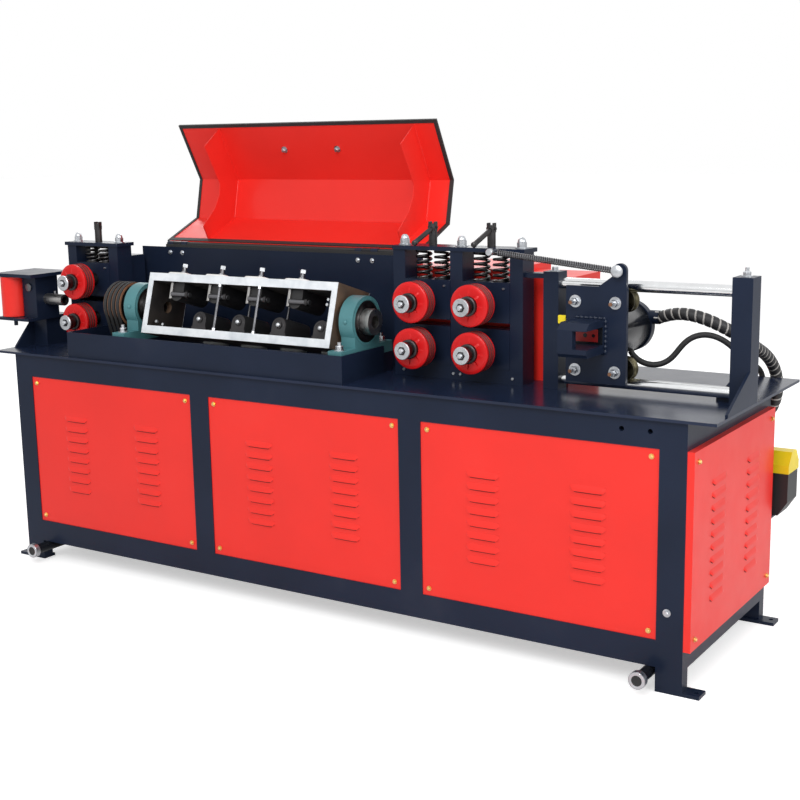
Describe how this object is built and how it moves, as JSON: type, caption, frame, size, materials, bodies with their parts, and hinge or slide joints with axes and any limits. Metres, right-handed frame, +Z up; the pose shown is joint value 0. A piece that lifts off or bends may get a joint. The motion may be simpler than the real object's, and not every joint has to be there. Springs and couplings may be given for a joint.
{
  "type": "rebar straightening and cutting machine",
  "caption": "Floor-standing machine that draws coiled rebar through rollers and a spinning drum to straighten it, then cuts it with a sliding hydraulic shear.",
  "frame": {"origin": "On the floor under the middle of the frame, at the centre of the anchor holes. Rest pose: hood open, drum tilted back, cutter carriage at its start.", "axes": "+X along the bar from inlet to cutter, +Y from the front to the rear, +Z up"},
  "size_m": [2.705, 0.875, 1.5229],
  "materials": {
    "navy_paint": "gloss",
    "red_paint": "gloss",
    "bare_steel": "satin",
    "teal_casting": "satin",
    "dark_iron": "satin",
    "machined_casting": "satin",
    "black_rubber": "matte",
    "black_plastic": "matte",
    "yellow_plastic": "gloss"
  },
  "bodies": {
    "machine": {"frame_posts": "navy_paint", "frame_rails": "navy_paint", "cross_rails": "navy_paint", "foot_plates": "navy_paint", "wheel_pipes": "bare_steel", "table_plate": "navy_paint", "front_panels": "red_paint", "rear_panels": "red_paint", "end_panels": "red_paint", "trough_front": "navy_paint", "trough_sides": "navy_paint", "rear_guard": "navy_paint", "guard_hinges": "navy_paint", "bearing_blocks": "teal_casting", "bearing_pads": "navy_paint", "drive_belts": "black_rubber", "motor_shelf": "navy_paint", "drive_motor": "navy_paint", "stand_posts": "navy_paint", "stand_plates": "navy_paint", "roller_blocks": "navy_paint", "pressure_springs": "dark_iron", "drive_cover": "red_paint", "inlet_cover": "navy_paint", "entry_bracket": "navy_paint", "inlet_tube": "bare_steel", "cutter_columns": "navy_paint", "column_gussets": "navy_paint", "guide_rods": "bare_steel", "toolbox_body": "black_plastic", "toolbox_lid": "yellow_plastic", "toolbox_shelf": "navy_paint", "hose_fittings": "bare_steel", "wrapped_hose": "black_rubber", "plain_hose": "black_rubber", "return_spring": "dark_iron"},
    "hood": {"hood_shell": "red_paint", "hood_ribs": "red_paint", "hood_trim": "black_rubber", "hood_fittings": "red_paint"},
    "drum": {"drum_walls": "machined_casting", "drum_ends": "machined_casting", "drum_dies": "dark_iron", "drum_bolts": "bare_steel", "drum_shafts": "bare_steel", "drum_pulley": "bare_steel"},
    "cutter_carriage": {"carriage": "navy_paint", "carriage_wheels": "bare_steel"},
    "motor_pulley_body": {"motor_pulley": "bare_steel"},
    "inlet_roller_upper_body": {"inlet_roller_upper": "red_paint"},
    "inlet_roller_lower_body": {"inlet_roller_lower": "red_paint"},
    "feed_roller_upper_a_body": {"feed_roller_upper_a": "red_paint"},
    "feed_roller_lower_a_body": {"feed_roller_lower_a": "red_paint"},
    "feed_roller_upper_b_body": {"feed_roller_upper_b": "red_paint"},
    "feed_roller_lower_b_body": {"feed_roller_lower_b": "red_paint"},
    "inlet_screw_body": {"inlet_screw": "bare_steel"},
    "feed_screw_a_body": {"feed_screw_a": "bare_steel"},
    "feed_screw_b_body": {"feed_screw_b": "bare_steel"},
    "entry_roller_front_body": {"entry_roller_front": "red_paint"},
    "entry_roller_rear_body": {"entry_roller_rear": "red_paint"}
  },
  "joints": [
    {"name": "hood_hinge", "type": "hinge", "parent": "machine", "child": "hood", "pos_m": [-0.346, 0.073, 1.108], "axis": [1, 0, 0], "range_deg": [0, 120]},
    {"name": "drum_spin", "type": "hinge", "parent": "machine", "child": "drum", "pos_m": [-0.287, -0.19, 0.92], "axis": [1, 0, 0], "continuous": true},
    {"name": "motor_spin", "type": "hinge", "parent": "machine", "child": "motor_pulley_body", "pos_m": [-0.832, -0.02, 0.285], "axis": [1, 0, 0], "continuous": true},
    {"name": "feed_spin", "type": "hinge", "parent": "machine", "child": "feed_roller_lower_a_body", "pos_m": [0.327, -0.19, 0.851], "axis": [0, 1, 0], "continuous": true},
    {"name": "feed_lower_b_spin", "type": "hinge", "parent": "machine", "child": "feed_roller_lower_b_body", "pos_m": [0.527, -0.19, 0.851], "axis": [0, 1, 0], "continuous": true},
    {"name": "feed_upper_a_spin", "type": "hinge", "parent": "machine", "child": "feed_roller_upper_a_body", "pos_m": [0.327, -0.19, 0.989], "axis": [0, 1, 0], "continuous": true},
    {"name": "feed_upper_b_spin", "type": "hinge", "parent": "machine", "child": "feed_roller_upper_b_body", "pos_m": [0.527, -0.19, 0.989], "axis": [0, 1, 0], "continuous": true},
    {"name": "inlet_lower_spin", "type": "hinge", "parent": "machine", "child": "inlet_roller_lower_body", "pos_m": [-1.066, -0.19, 0.851], "axis": [0, 1, 0], "continuous": true},
    {"name": "inlet_upper_spin", "type": "hinge", "parent": "machine", "child": "inlet_roller_upper_body", "pos_m": [-1.066, -0.19, 0.989], "axis": [0, 1, 0], "continuous": true},
    {"name": "inlet_screw_turn", "type": "hinge", "parent": "machine", "child": "inlet_screw_body", "pos_m": [-1.066, -0.075, 1.15], "axis": [0, 0, 1], "range_deg": [-30, 30]},
    {"name": "feed_screw_a_turn", "type": "hinge", "parent": "machine", "child": "feed_screw_a_body", "pos_m": [0.327, -0.075, 1.18], "axis": [0, 0, 1], "range_deg": [-30, 30]},
    {"name": "feed_screw_b_turn", "type": "hinge", "parent": "machine", "child": "feed_screw_b_body", "pos_m": [0.527, -0.075, 1.18], "axis": [0, 0, 1], "range_deg": [-30, 30]},
    {"name": "entry_front_spin", "type": "hinge", "parent": "machine", "child": "entry_roller_front_body", "pos_m": [-1.338, -0.24, 0.92], "axis": [0, 0, 1], "continuous": true},
    {"name": "entry_rear_spin", "type": "hinge", "parent": "machine", "child": "entry_roller_rear_body", "pos_m": [-1.338, -0.14, 0.92], "axis": [0, 0, 1], "continuous": true},
    {"name": "cutter_slide", "type": "slide", "parent": "machine", "child": "cutter_carriage", "axis": [1, 0, 0], "range_m": [0, 0.22], "stiffness_N_per_m": 250, "springref_m": -0.12, "deforming": ["wrapped_hose", "plain_hose", "return_spring"]}
  ],
  "couplings": [
    {"joint": "motor_spin", "follows": "drum_spin", "ratio": 1.5},
    {"joint": "feed_lower_b_spin", "follows": "feed_spin", "ratio": 1},
    {"joint": "feed_upper_a_spin", "follows": "feed_spin", "ratio": -1},
    {"joint": "feed_upper_b_spin", "follows": "feed_spin", "ratio": -1},
    {"joint": "inlet_lower_spin", "follows": "feed_spin", "ratio": 1},
    {"joint": "inlet_upper_spin", "follows": "feed_spin", "ratio": -1}
  ]
}
